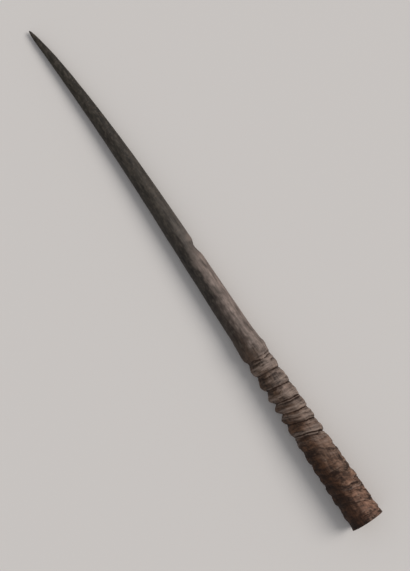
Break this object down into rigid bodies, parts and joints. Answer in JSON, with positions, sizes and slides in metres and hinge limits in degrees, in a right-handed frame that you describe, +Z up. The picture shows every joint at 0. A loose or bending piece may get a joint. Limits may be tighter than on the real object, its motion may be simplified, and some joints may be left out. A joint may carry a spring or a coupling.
{
  "type": "gemsbok horn",
  "caption": "Long, slender, nearly straight antelope horn with slanted growth rings on its lower part, a smooth pointed tip and a hollow, flat-cut base, lying on its side.",
  "frame": {"origin": "centre of the bounding box at the surface that the horn lies on", "axes": "+X along the horn from the cut base to the tip, -Y towards the convex front of the horn, +Z up from the surface"},
  "size_m": [0.85, 0.0502, 0.0473],
  "materials": {
    "horn_keratin": "weathered keratin: grey-brown and dusty between dark growth grooves, pale and worn on the front above the rings, near black towards the tip"
  },
  "bodies": {
    "root": {"horn": "horn_keratin"}
  },
  "joints": []
}
